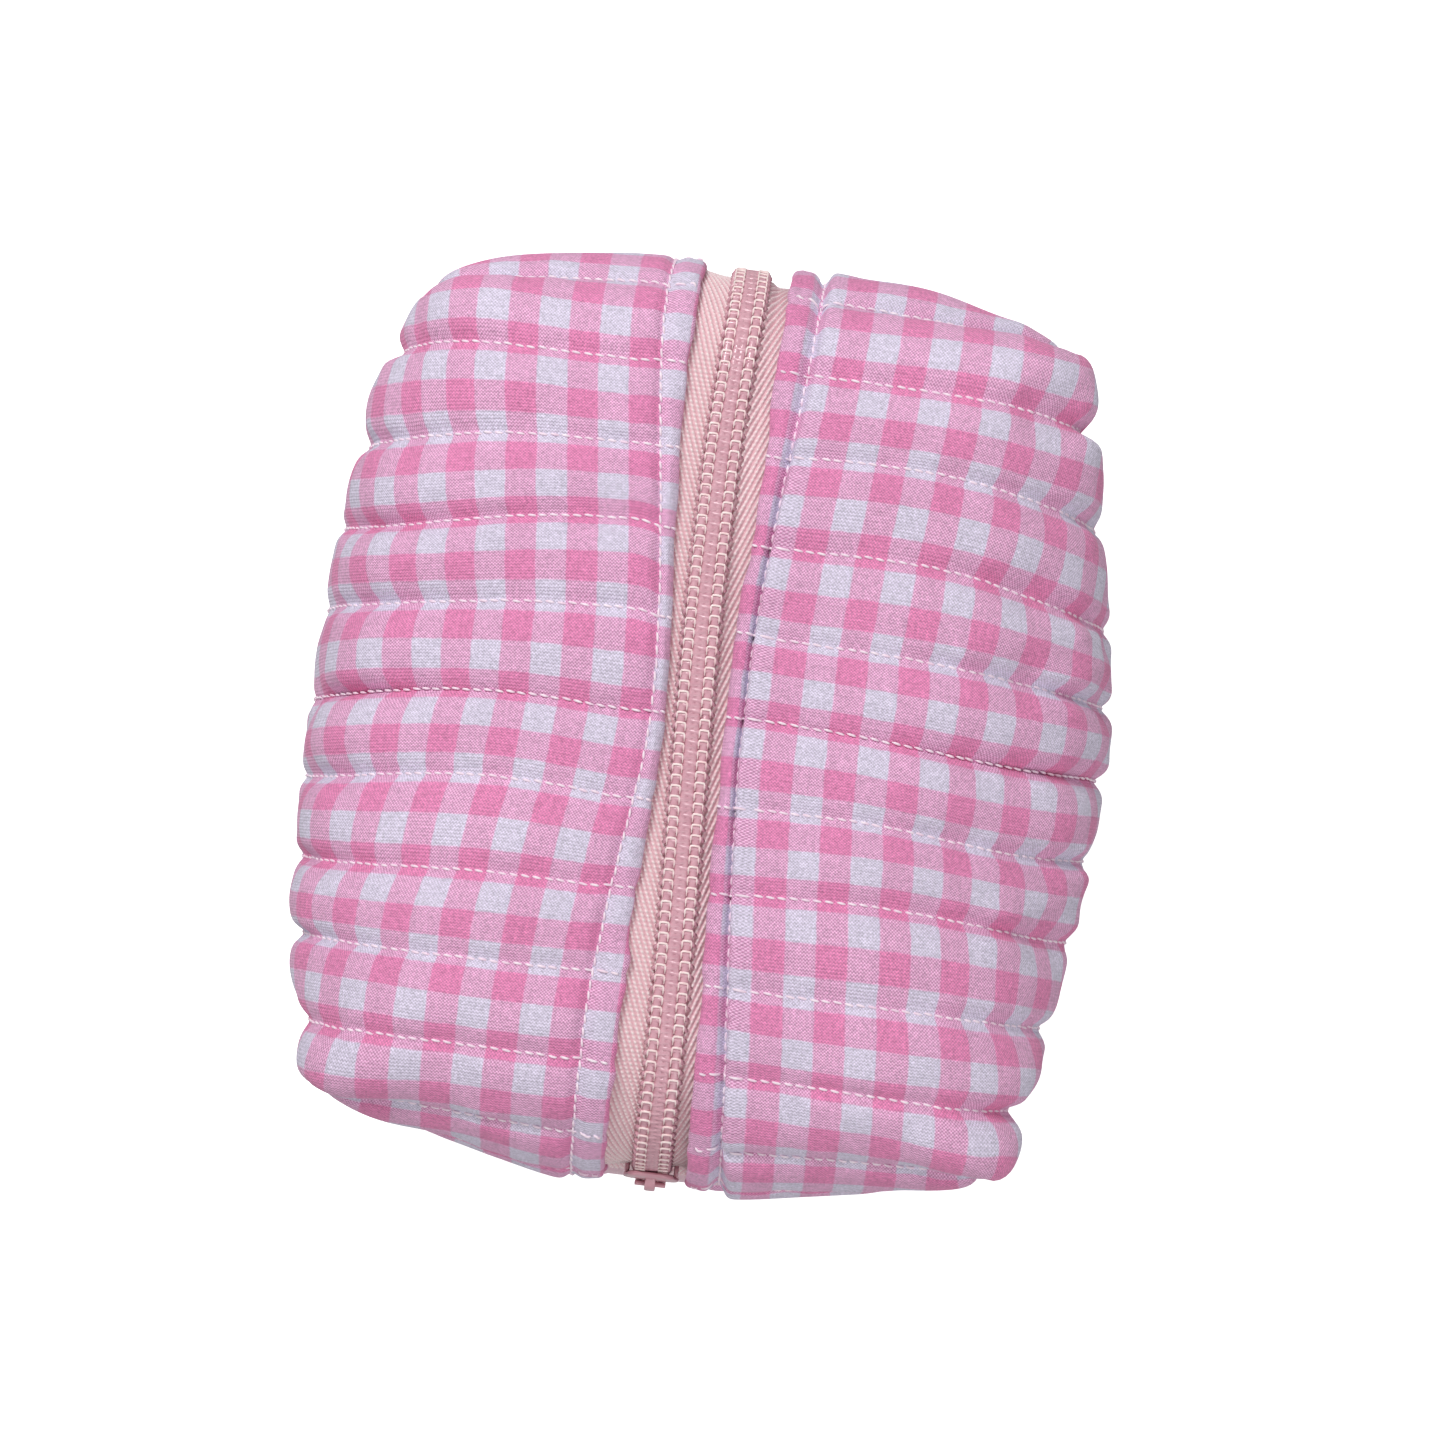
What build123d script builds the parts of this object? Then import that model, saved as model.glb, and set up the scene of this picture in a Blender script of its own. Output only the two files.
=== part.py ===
"""Boxy quilted makeup bag with a coil zip over its top: every sewn piece as its own solid.

Frame: origin at the centre of the underside, +Z up, zip along Y. Millimetres.
"""
import os

from build123d import *

# Overall size of the closed, filled-out bag
WIDTH = 178.0
LENGTH = 200.0
HEIGHT = 90.0
SEAM_Z = 44.0

# Cross-section over the width: flat middle, elliptical shoulders, tighter bottom edges
TOP_FLAT_X = 25.0
BOTTOM_FLAT_X = 60.0

# Section along the zip: the zip rounds each end on an arc of END_RADIUS
END_RADIUS = 36.0
PIVOT_Y = LENGTH / 2 - END_RADIUS
PIVOT_Z = HEIGHT - END_RADIUS
BOTTOM_FLAT_Y = 74.0

# Plan outline: four bowed sides that meet at the boxing seams
CORNER_X = 72.0
CORNER_Y = 86.0
CORNER_FILLET = 7.0
CORNER_FILLET_MIN = 1.0
SEAM_RUN = 20.0
SEAM_RISE = 17.4
WEDGE_IN = 15.5
WEDGE_IN_RISE = 13.5

# Layers of the quilt, as depths below the outer surface
COTTON = (0.0, 1.0)
WADDING = (1.15, 4.0)
LINING = (4.15, 4.95)
BASE_CUT = 3.0
STITCH_GROOVE = (0.0, 0.55)
STITCH_DEPTH = (0.15, 0.45)

# Zip and the turned edges of the panels beside it
FOLD_IN = 9.0
FOLD_OUT = 15.0
FOLD_DEPTH = 4.6
QUILT_START = 15.1
PADDING_START = 15.4
TAPE_INNER = 0.8
TAPE_OUTER = 15.2
TAPE_DEPTH = (5.3, 5.9)
COIL_INNER = 0.6
COIL_OUTER = 4.2
COIL_DEPTH = (2.6, 5.2)
EDGE_STITCH_X = 16.2

# Opening halves of the top
FLAP_HALF = 52.0
FLAP_GAP = 0.3
HINGE_GAP = 0.25

# Quilting lines across the zip
LINE_PITCH = 17.5
LINES_EACH_SIDE = 5
GROOVE_HALF = 0.6
THREAD_HALF = 0.4

# Bound seam allowances inside the bag
BINDING_DEPTH = (5.2, 12.0)
BINDING_Z = (41.2, 43.4)
END_BINDING_HALF = 58.0
CORNER_BINDING_T = 2.4
CORNER_BINDING_RUN = (6.0, 16.0)
CORNER_BINDING_Z = (9.0, 62.0)

# Slider on the near end, curved to the arc that it follows
SLIDER_REST = 8.0
SLIDER_SPAN = 11.8
SLIDER_HALF_W = 6.1
SLIDER_TOP_R = (34.1, 35.4)
SLIDER_FOOT_R = (28.3, 29.5)
SLIDER_FLANGE_IN = 4.9
SLIDER_FLANGE_R = 31.4
NECK_HALF_W = 0.35
NECK_SPAN = (-10.0, -3.0)
BRIDGE_HALF_W = 1.2
BRIDGE_SPAN = 7.0
BRIDGE_HOLE_SPAN = 4.6
BRIDGE_R = 37.6
BRIDGE_HOLE_R = (35.6, 36.8)

# Pull tab, hanging from a bar through the slider's bridge
TAB_BAR_ORBIT = 36.2
TAB_TILT = 4.0
TAB_BAR_R = 0.5
TAB_ARM_IN = 1.7
TAB_ARM_OUT = 3.4
TAB_THICK = 1.0
TAB_THROAT = 5.2
TAB_LENGTH = 27.0
TAB_HALF_W = 3.6
TAB_HOLE_R = 1.3

BIG = 400.0
SIDES = {"left": -1, "right": 1}
ENDS = {"near": -1, "far": 1}

os.makedirs("parts", exist_ok=True)


def save(builder, name):
    """Label a finished piece and write it out."""
    builder.part.label = name
    export_step(builder.part, f"parts/{name}.step")


def rounded_section(half, top_flat, bottom_flat, widest_z, depth):
    """Closed section: flat top and bottom, elliptical shoulders above and below the widest line."""
    top_run = half - top_flat - depth
    bottom_run = half - bottom_flat - depth
    drop = widest_z - depth
    rise = HEIGHT - widest_z - depth
    low = depth
    high = HEIGHT - depth
    with BuildSketch() as section:
        with BuildLine():
            Line((-bottom_flat, low), (bottom_flat, low))
            EllipticalCenterArc((bottom_flat, widest_z), bottom_run, drop, start_angle=-90, arc_size=90)
            EllipticalCenterArc((top_flat, widest_z), top_run, rise, start_angle=0, arc_size=90)
            Line((top_flat, high), (-top_flat, high))
            EllipticalCenterArc((-top_flat, widest_z), top_run, rise, start_angle=90, arc_size=90)
            EllipticalCenterArc((-bottom_flat, widest_z), bottom_run, drop, start_angle=180, arc_size=90)
        make_face()
    return section.sketch


def cross_profile(depth):
    """Section over the width, moved inwards by depth."""
    return rounded_section(WIDTH / 2, TOP_FLAT_X, BOTTOM_FLAT_X, SEAM_Z, depth)


def long_profile(depth):
    """Section along the zip, moved inwards by depth."""
    return rounded_section(LENGTH / 2, PIVOT_Y, BOTTOM_FLAT_Y, PIVOT_Z, depth)


def plan_profile(depth):
    """Outline seen from above, moved inwards by depth."""
    side_x = WIDTH / 2 - depth
    end_y = LENGTH / 2 - depth
    corner_x = CORNER_X - depth
    corner_y = CORNER_Y - depth
    with BuildSketch(Plane.XY) as outline:
        with BuildLine():
            ThreePointArc((corner_x, -corner_y), (side_x, 0), (corner_x, corner_y))
            ThreePointArc((corner_x, corner_y), (0, end_y), (-corner_x, corner_y))
            ThreePointArc((-corner_x, corner_y), (-side_x, 0), (-corner_x, -corner_y))
            ThreePointArc((-corner_x, -corner_y), (0, -end_y), (corner_x, -corner_y))
        make_face()
        fillet(outline.vertices(), radius=max(CORNER_FILLET - depth, CORNER_FILLET_MIN))
    return outline.sketch


def pillow(depth):
    """The bag's filled-out shape, moved inwards by depth."""
    with BuildPart() as block:
        with BuildSketch(Plane.XZ):
            add(cross_profile(depth))
        extrude(amount=BIG / 2, both=True)
        with BuildSketch(Plane.YZ):
            add(long_profile(depth))
        extrude(amount=BIG / 2, both=True, mode=Mode.INTERSECT)
        with BuildSketch(Plane.XY):
            add(plan_profile(depth))
        extrude(amount=BIG / 2, both=True, mode=Mode.INTERSECT)
    return block.part


def layer(depths):
    """One closed skin of the bag between two depths."""
    with BuildPart() as skin:
        add(pillow(depths[0]))
        add(pillow(depths[1]), mode=Mode.SUBTRACT)
    return skin.part


def band(depths, x_in, x_out, side):
    """A strip that follows the section along the zip between two depths and two widths."""
    with BuildPart() as strip:
        with BuildSketch(Plane.YZ.offset(min(side * x_in, side * x_out))):
            add(long_profile(depths[0]))
            add(long_profile(depths[1]), mode=Mode.SUBTRACT)
        extrude(amount=x_out - x_in)
    return strip.part


def block(x0, x1, y0, y1, z0, z1):
    """A box between two corners."""
    with BuildPart() as box:
        with BuildSketch(Plane.XY.offset(z0)):
            with Locations(((x0 + x1) / 2, (y0 + y1) / 2)):
                Rectangle(x1 - x0, y1 - y0)
        extrude(amount=z1 - z0, dir=(0, 0, 1))
    return box.part


def end_wedge(sign, z0, z1):
    """The plan area between the two boxing seams of one end."""
    inner = (CORNER_X - WEDGE_IN, sign * (CORNER_Y - WEDGE_IN_RISE))
    outer = (CORNER_X + SEAM_RUN, sign * (CORNER_Y + SEAM_RISE))
    with BuildPart() as wedge:
        with BuildSketch(Plane.XY.offset(z0)):
            with BuildLine():
                Polyline(inner, outer, (-outer[0], outer[1]), (-inner[0], inner[1]), close=True)
            make_face()
        extrude(amount=z1 - z0, dir=(0, 0, 1))
    return wedge.part


def side_wedge(sign, z0, z1):
    """The plan area between the two boxing seams of one side."""
    inner = (sign * (CORNER_X - WEDGE_IN), CORNER_Y - WEDGE_IN_RISE)
    outer = (sign * (CORNER_X + SEAM_RUN), CORNER_Y + SEAM_RISE)
    with BuildPart() as wedge:
        with BuildSketch(Plane.XY.offset(z0)):
            with BuildLine():
                Polyline(inner, outer, (outer[0], -outer[1]), (inner[0], -inner[1]), close=True)
            make_face()
        extrude(amount=z1 - z0, dir=(0, 0, 1))
    return wedge.part


def line_slabs(half):
    """Thin slabs across the bag, one at each quilting line."""
    count = 2 * LINES_EACH_SIDE + 1
    with BuildPart() as slabs:
        with BuildSketch(Plane.XY.offset(-BIG / 4)):
            with GridLocations(0, LINE_PITCH, 1, count):
                Rectangle(BIG, 2 * half)
        extrude(amount=BIG / 2)
    return slabs.part


def flap_region(side, start=QUILT_START):
    """Space of one opening half of the top."""
    x_near = side * start
    x_far = side * BIG / 2
    return block(min(x_near, x_far), max(x_near, x_far), -FLAP_HALF, FLAP_HALF, SEAM_Z + HINGE_GAP, BIG)


def shoulder_region(side, end, start=QUILT_START):
    """Space of one fixed quarter of the top, beyond the opening half."""
    xs = sorted((side * start, side * BIG / 2))
    ys = sorted((end * (FLAP_HALF + FLAP_GAP), end * BIG / 2))
    return block(xs[0], xs[1], ys[0], ys[1], SEAM_Z + HINGE_GAP, BIG)


def zip_region(end):
    """Space of the zip strips at one end, or over the opening when end is zero."""
    if end == 0:
        return block(-BIG / 2, BIG / 2, -FLAP_HALF, FLAP_HALF, SEAM_Z, BIG)
    ys = sorted((end * (FLAP_HALF + FLAP_GAP), end * BIG / 2))
    return block(-BIG / 2, BIG / 2, ys[0], ys[1], SEAM_Z + HINGE_GAP, BIG)


cotton = layer(COTTON)
wadding = layer(WADDING)
lining = layer(LINING)
groove_skin = layer(STITCH_GROOVE)
thread_skin = layer(STITCH_DEPTH)
grooves = line_slabs(GROOVE_HALF)
threads = line_slabs(THREAD_HALF)

with BuildPart() as groove_builder:
    add(groove_skin)
    add(grooves, mode=Mode.INTERSECT)
quilt_grooves = groove_builder.part

with BuildPart() as thread_builder:
    add(thread_skin)
    add(threads, mode=Mode.INTERSECT)
quilt_threads = thread_builder.part

with BuildPart() as cotton_builder:
    add(cotton)
    add(quilt_grooves, mode=Mode.SUBTRACT)
grooved_cotton = cotton_builder.part


def skin_piece(skin, region, name):
    """Cut one named piece out of a skin and save it."""
    with BuildPart() as piece:
        add(skin)
        add(region, mode=Mode.INTERSECT)
    save(piece, name)


def top_panel(side, region, zone, name):
    """Printed cotton of a top panel, turned under to a thick rolled edge beside the zip."""
    edge_xs = sorted((side * (EDGE_STITCH_X - GROOVE_HALF), side * (EDGE_STITCH_X + GROOVE_HALF)))
    with BuildPart() as panel:
        add(grooved_cotton)
        add(region, mode=Mode.INTERSECT)
        add(groove_skin & block(edge_xs[0], edge_xs[1], -BIG / 2, BIG / 2, 0, BIG), mode=Mode.SUBTRACT)
        add(band((0, FOLD_DEPTH), FOLD_IN, FOLD_OUT + THREAD_HALF / 2, side) & zone)
    save(panel, name)


# Printed cotton of the base: bottom, two sides and two lower ends
skin_piece(grooved_cotton, block(-BIG, BIG, -BIG, BIG, -1, BASE_CUT), "cotton_bottom")
for side_name, side in SIDES.items():
    skin_piece(grooved_cotton, side_wedge(side, BASE_CUT, SEAM_Z - HINGE_GAP), f"cotton_side_{side_name}")
for end_name, end in ENDS.items():
    skin_piece(grooved_cotton, end_wedge(end, BASE_CUT, SEAM_Z), f"cotton_end_{end_name}")

# Printed cotton of the top: two opening halves and four fixed quarters
for side_name, side in SIDES.items():
    top_panel(side, flap_region(side), zip_region(0), f"cotton_top_{side_name}")
    for end_name, end in ENDS.items():
        name = f"cotton_{end_name}_{side_name}"
        top_panel(side, shoulder_region(side, end), zip_region(end), name)

# Wadding and lining: base, two opening halves, two fixed ends
for skin, skin_name in ((wadding, "wadding"), (lining, "lining")):
    skin_piece(skin, block(-BIG, BIG, -BIG, BIG, -1, SEAM_Z - HINGE_GAP), f"{skin_name}_base")
    for side_name, side in SIDES.items():
        skin_piece(skin, flap_region(side, PADDING_START), f"{skin_name}_top_{side_name}")
    for end_name, end in ENDS.items():
        both = shoulder_region(-1, end, PADDING_START) + shoulder_region(1, end, PADDING_START)
        skin_piece(skin, both, f"{skin_name}_{end_name}")

# Quilting stitches, sunk in their grooves
base_zone = block(-BIG, BIG, -BIG, BIG, -1, SEAM_Z - HINGE_GAP)
skin_piece(quilt_threads, base_zone, "quilting_base")
for side_name, side in SIDES.items():
    xs = sorted((side * (EDGE_STITCH_X + 1), side * BIG / 2))
    zone = block(xs[0], xs[1], -FLAP_HALF, FLAP_HALF, SEAM_Z + HINGE_GAP, BIG)
    skin_piece(quilt_threads, zone, f"quilting_top_{side_name}")
for end_name, end in ENDS.items():
    ys = sorted((end * (FLAP_HALF + FLAP_GAP), end * BIG / 2))
    halves = [
        block(*sorted((side * (EDGE_STITCH_X + 1), side * BIG / 2)), ys[0], ys[1], SEAM_Z + HINGE_GAP, BIG)
        for side in SIDES.values()
    ]
    skin_piece(quilt_threads, halves[0] + halves[1], f"quilting_{end_name}")

# Edge stitching beside the zip
for side_name, side in SIDES.items():
    xs = sorted((side * (EDGE_STITCH_X - THREAD_HALF), side * (EDGE_STITCH_X + THREAD_HALF)))
    row = block(xs[0], xs[1], -FLAP_HALF, FLAP_HALF, SEAM_Z, BIG)
    skin_piece(thread_skin, row, f"edge_stitch_top_{side_name}")
for end_name, end in ENDS.items():
    ys = sorted((end * (FLAP_HALF + FLAP_GAP), end * BIG / 2))
    rows = [
        block(
            *sorted((side * (EDGE_STITCH_X - THREAD_HALF), side * (EDGE_STITCH_X + THREAD_HALF))),
            ys[0], ys[1], SEAM_Z + 1, BIG,
        )
        for side in SIDES.values()
    ]
    skin_piece(thread_skin, rows[0] + rows[1], f"edge_stitch_{end_name}")

# Zip tapes and coils: over the opening and over each fixed end
for side_name, side in SIDES.items():
    tape = band(TAPE_DEPTH, TAPE_INNER, TAPE_OUTER, side)
    coil = band(COIL_DEPTH, COIL_INNER, COIL_OUTER, side)
    for zone_name, end in (("top", 0), ("near", -1), ("far", 1)):
        skin_piece(tape, zip_region(end), f"tape_{zone_name}_{side_name}")
        skin_piece(coil, zip_region(end), f"coil_{zone_name}_{side_name}")

# Bound seam allowances: one along each end seam, one in each boxed corner
inner_space = pillow(BINDING_DEPTH[0] + 0.1)
for end_name, end in ENDS.items():
    ys = sorted((end * BOTTOM_FLAT_Y, end * BIG / 2))
    with BuildPart() as end_binding:
        with BuildSketch(Plane.XY.offset(BINDING_Z[0])):
            add(plan_profile(BINDING_DEPTH[0]))
            add(plan_profile(BINDING_DEPTH[1]), mode=Mode.SUBTRACT)
        extrude(amount=BINDING_Z[1] - BINDING_Z[0])
        add(inner_space, mode=Mode.INTERSECT)
        add(block(-END_BINDING_HALF, END_BINDING_HALF, ys[0], ys[1], 0, BIG), mode=Mode.INTERSECT)
    save(end_binding, f"binding_end_{end_name}")
    for side_name, side in SIDES.items():
        run = CORNER_BINDING_RUN
        corner_plane = Plane(
            origin=(side * CORNER_X, end * CORNER_Y, CORNER_BINDING_Z[0]),
            x_dir=(-side * WEDGE_IN, -end * WEDGE_IN_RISE, 0),
            z_dir=(0, 0, 1),
        )
        with BuildPart() as corner_binding:
            with BuildSketch(corner_plane):
                with Locations(((run[0] + run[1]) / 2, 0)):
                    Rectangle(run[1] - run[0], CORNER_BINDING_T)
            extrude(amount=CORNER_BINDING_Z[1] - CORNER_BINDING_Z[0])
            add(inner_space, mode=Mode.INTERSECT)
        save(corner_binding, f"binding_{end_name}_{side_name}")


def sector(x0, x1, radii, span):
    """A curved bar around the slider's orbit, spanning angles above the rest direction."""
    start = 180 - SLIDER_REST - span[1]
    sweep = span[1] - span[0]
    centre = (-PIVOT_Y, PIVOT_Z)
    with BuildPart() as bar:
        with BuildSketch(Plane.YZ.offset(x0)):
            with BuildLine():
                inner = CenterArc(centre, radii[0], start, sweep)
                outer = CenterArc(centre, radii[1], start, sweep)
                Line(inner @ 0, outer @ 0)
                Line(inner @ 1, outer @ 1)
            make_face()
        extrude(amount=x1 - x0)
    return bar.part


# Slider: two plates joined by a neck, with side flanges and a bridge for the pull
full = (-SLIDER_SPAN, SLIDER_SPAN)
with BuildPart() as slider:
    add(sector(-SLIDER_HALF_W, SLIDER_HALF_W, SLIDER_TOP_R, full))
    add(sector(-SLIDER_HALF_W, SLIDER_HALF_W, SLIDER_FOOT_R, full))
    add(sector(-NECK_HALF_W, NECK_HALF_W, (SLIDER_FOOT_R[1], SLIDER_TOP_R[0]), NECK_SPAN))
    add(sector(-SLIDER_HALF_W, -SLIDER_FLANGE_IN, (SLIDER_FLANGE_R, SLIDER_TOP_R[0]), full))
    add(sector(SLIDER_FLANGE_IN, SLIDER_HALF_W, (SLIDER_FLANGE_R, SLIDER_TOP_R[0]), full))
    bridge_span = (-BRIDGE_SPAN, BRIDGE_SPAN)
    hole_span = (-BRIDGE_HOLE_SPAN, BRIDGE_HOLE_SPAN)
    add(sector(-BRIDGE_HALF_W, BRIDGE_HALF_W, (SLIDER_TOP_R[1], BRIDGE_R), bridge_span))
    add(sector(-SLIDER_HALF_W, SLIDER_HALF_W, BRIDGE_HOLE_R, hole_span), mode=Mode.SUBTRACT)
save(slider, "slider")

# Pull tab: bar, two arms and a rounded plate with an eye
rest = Vector(0, -1, 0).rotate(Axis.X, -SLIDER_REST)
bar_centre = Vector(0, -PIVOT_Y, PIVOT_Z) + rest * TAB_BAR_ORBIT
up = Vector(0, 0, 1).rotate(Axis.X, -TAB_TILT)
arm_x = (TAB_ARM_IN + TAB_ARM_OUT) / 2
arm_y = -TAB_THROAT / 2 - 1
tab_plane = Plane(origin=bar_centre, x_dir=(1, 0, 0), z_dir=Vector(1, 0, 0).cross(up))
with BuildPart() as pull_tab:
    with BuildSketch(tab_plane.offset(-TAB_THICK / 2)):
        with Locations((0, -(TAB_LENGTH + TAB_THROAT) / 2)):
            RectangleRounded(2 * TAB_HALF_W, TAB_LENGTH - TAB_THROAT, TAB_HALF_W - 0.2)
        with Locations((arm_x, arm_y), (-arm_x, arm_y)):
            Rectangle(TAB_ARM_OUT - TAB_ARM_IN, TAB_THROAT + 2 + TAB_THICK)
        with Locations((0, -TAB_THROAT - 1.5)):
            Rectangle(2 * TAB_ARM_OUT, 3)
        with Locations((0, -TAB_LENGTH + TAB_HALF_W)):
            Circle(TAB_HOLE_R, mode=Mode.SUBTRACT)
    extrude(amount=TAB_THICK)
    with BuildSketch(Plane(origin=bar_centre - Vector(TAB_ARM_OUT, 0, 0), z_dir=(1, 0, 0))):
        Circle(TAB_BAR_R)
    extrude(amount=2 * TAB_ARM_OUT)
save(pull_tab, "pull_tab")
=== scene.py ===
import math

import bpy
import numpy as np
from mathutils import Matrix, Vector


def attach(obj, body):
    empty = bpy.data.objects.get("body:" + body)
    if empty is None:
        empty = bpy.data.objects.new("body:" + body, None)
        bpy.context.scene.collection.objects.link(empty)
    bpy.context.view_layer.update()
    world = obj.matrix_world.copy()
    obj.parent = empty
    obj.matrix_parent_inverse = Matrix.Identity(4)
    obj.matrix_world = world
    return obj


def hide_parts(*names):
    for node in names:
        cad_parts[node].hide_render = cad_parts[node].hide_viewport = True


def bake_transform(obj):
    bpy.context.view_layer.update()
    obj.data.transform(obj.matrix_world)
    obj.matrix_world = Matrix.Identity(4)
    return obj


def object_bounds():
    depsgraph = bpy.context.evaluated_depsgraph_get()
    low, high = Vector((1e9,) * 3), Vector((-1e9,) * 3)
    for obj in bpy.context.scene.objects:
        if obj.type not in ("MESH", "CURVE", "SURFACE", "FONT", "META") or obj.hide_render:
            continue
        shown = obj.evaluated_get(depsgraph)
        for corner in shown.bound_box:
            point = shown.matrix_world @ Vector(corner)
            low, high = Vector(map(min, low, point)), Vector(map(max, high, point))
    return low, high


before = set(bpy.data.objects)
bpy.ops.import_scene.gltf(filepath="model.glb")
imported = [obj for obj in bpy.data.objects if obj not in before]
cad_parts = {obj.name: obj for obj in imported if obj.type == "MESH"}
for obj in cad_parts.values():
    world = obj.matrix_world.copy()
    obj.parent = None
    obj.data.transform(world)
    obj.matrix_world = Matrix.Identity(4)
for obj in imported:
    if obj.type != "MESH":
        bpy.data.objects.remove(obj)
CAD_BOX = [list(corner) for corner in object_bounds()]

MM = 0.001
rng = np.random.default_rng(11)
SIDES = {"left": -1, "right": 1}

# ---- the bag's sizes, in millimetres; x is across the zip, y along it, z up
CAD_TOP = CAD_BOX[1][2] / MM
CAD_HALF_L = CAD_BOX[1][1] / MM
HALF_W = CAD_BOX[1][0] / MM - 1.3        # the sewn cloth, without its puffs
HALF_L = CAD_HALF_L - 0.6
TOP = CAD_TOP - 0.6
SEAM_Z = 44.0            # height of the widest line
ZIP_R = {"near": 36.0, "far": 28.0}      # end rounding along the zip
REACH = {"near": 1.4, "far": 1.2}        # how far the stuffed ends stand past the frame
# the boxed corners: half width and half length by side and end, as sewn, so no two are quite alike
CORNERS = {("left", "near"): (71.6, 82.0), ("left", "far"): (68.0, 82.6),
           ("right", "near"): (68.6, 85.6), ("right", "far"): (66.4, 85.2)}
CORNER_R = 5.0           # edge radius at the boxed corners
CORNER_SEAM = 1.6        # how far the corner's seam draws the cloth in
UPPER_U = 104.0          # cloth from the folded edge to the widest line
UPPER_V = 130.0          # cloth from the middle to the end seam, above it
LOWER_T = 114.0          # cloth from the bottom's middle to the widest line
LOWER_V = 128.0
FOLD_T = LOWER_T + UPPER_U
NOTCH_U = 62.0           # the boxed corner, measured from the folded edge
NOTCH_T = 69.5           # and from the bottom's middle
NOTCH_V = 90.5
CORNER_SAG = 0.2         # how far the boxed corners sink, as a share of the upper half's height
PITCH = 18.1             # between quilting lines, after sewing
LINE_NUMBERS = range(-7, 8)
CLOTH_PITCH = 19.05      # the same, measured on the flat cloth: three checks
CHECK = 6.35
CHECK_SHIFT = {"left": -6.2, "right": 2.0}   # where the checks happen to start beside each fold
CHECK_START = 2.0                            # and along the zip
EDGE_STITCH_U = 6.0      # edge stitching, from the folded edge
STEP = 1.45              # grid of the simulated cloth
TAB_REST_Y = -99.0       # the pull tab's back face, less a little air
TUCK = 6.0               # cloth carried on behind the flaps, past the widest line
TAPE_DEPTH = 4.2         # the zip tape lies this far under the bag's top
TOOTH = 2.15             # pitch of the coil
ROLL_R = 1.3             # radius of the turn under at the folded edge
STITCH = 2.4             # pitch of the stitching
STITCH_LONG = 2.02
STITCH_R = 0.29
YARN = 0.68              # pitch of the cotton's weave
RIB_S, RIB_X, BEAD = 2.9, 1.15, 0.92         # the tape's twill: pitch along and across, and of its beads
INSET = 4.5              # lining, under the cloth
SIM_FRAMES = 20
SIM_CAP = 2.2            # the farthest that the simulation may move a point
FLOOR_GAP = 0.4          # air under the cloth
UV_UNIT = 0.01           # of the UV map, for each millimetre of cloth


def smooth(t):
    t = np.clip(t, 0.0, 1.0)
    return t * t * (3 - 2 * t)


def bell(t):
    return np.exp(-np.square(t))


def waves(x, y, count, short, seed):
    """Smooth random field from -1 to 1 or so, with wavelengths of short and up."""
    r = np.random.default_rng(seed)
    total = 0
    for _ in range(count):
        k = 2 * math.pi / (short * (1 + 2 * r.random()))
        a = r.random() * 2 * math.pi
        total = total + np.sin(k * (x * math.cos(a) + y * math.sin(a)) + r.random() * 7)
    return total / math.sqrt(count / 2)


def zip_x(y):
    return -3.2 * smooth((y + 80) / 115) + 1.5 * smooth((y - 50) / 45)


def fold_x(side, y):
    """How far a panel's folded edge lies from the bag's middle plane."""
    if side < 0:
        return 10.9 + 2.0 * bell((y - 80) / 35) - 2.6 * bell((y + 2) / 32)
    return 4.1 + 4.3 * np.power(np.clip((np.abs(y - 4) - 12) / 88, 0, None), 1.1)


def strip_width(side, y):
    """Width of the strip between folded edge and edge stitching, as it lies: it rolls down in the middle."""
    if side < 0:
        return 2.7 + 3.4 * smooth((np.abs(y - 14) - 8) / 75)
    return 3.9 + 2.3 * smooth((np.abs(y) - 10) / 85)


def stuffed(y):
    """The ends, pushed out by what is inside."""
    reach = np.where(y < 0, REACH["near"], REACH["far"])
    return y + np.sign(y) * reach * smooth((np.abs(y) - 70) / 30)


# ---- resting shape of the cloth

def arc_run(start, half, rx, rz, rise, s, knee, total):
    """Run and drop at cloth distances s along: flat, elliptical shoulder, straight drop. Beyond knee the cloth is
    eased so that the distance total reaches the bottom of the drop."""
    angle = np.linspace(0, math.pi / 2, 80)
    run = np.concatenate([[start], half - rx + rx * np.sin(angle), [half]])
    drop = np.concatenate([[0.0], rz * (1 - np.cos(angle)), [rise]])
    length = np.concatenate([[0], np.cumsum(np.hypot(np.diff(run), np.diff(drop)))])
    s = np.interp(s, [0, knee, total], [0, knee, length[-1]])
    return np.interp(s, length, run), np.interp(s, length, drop)


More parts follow.
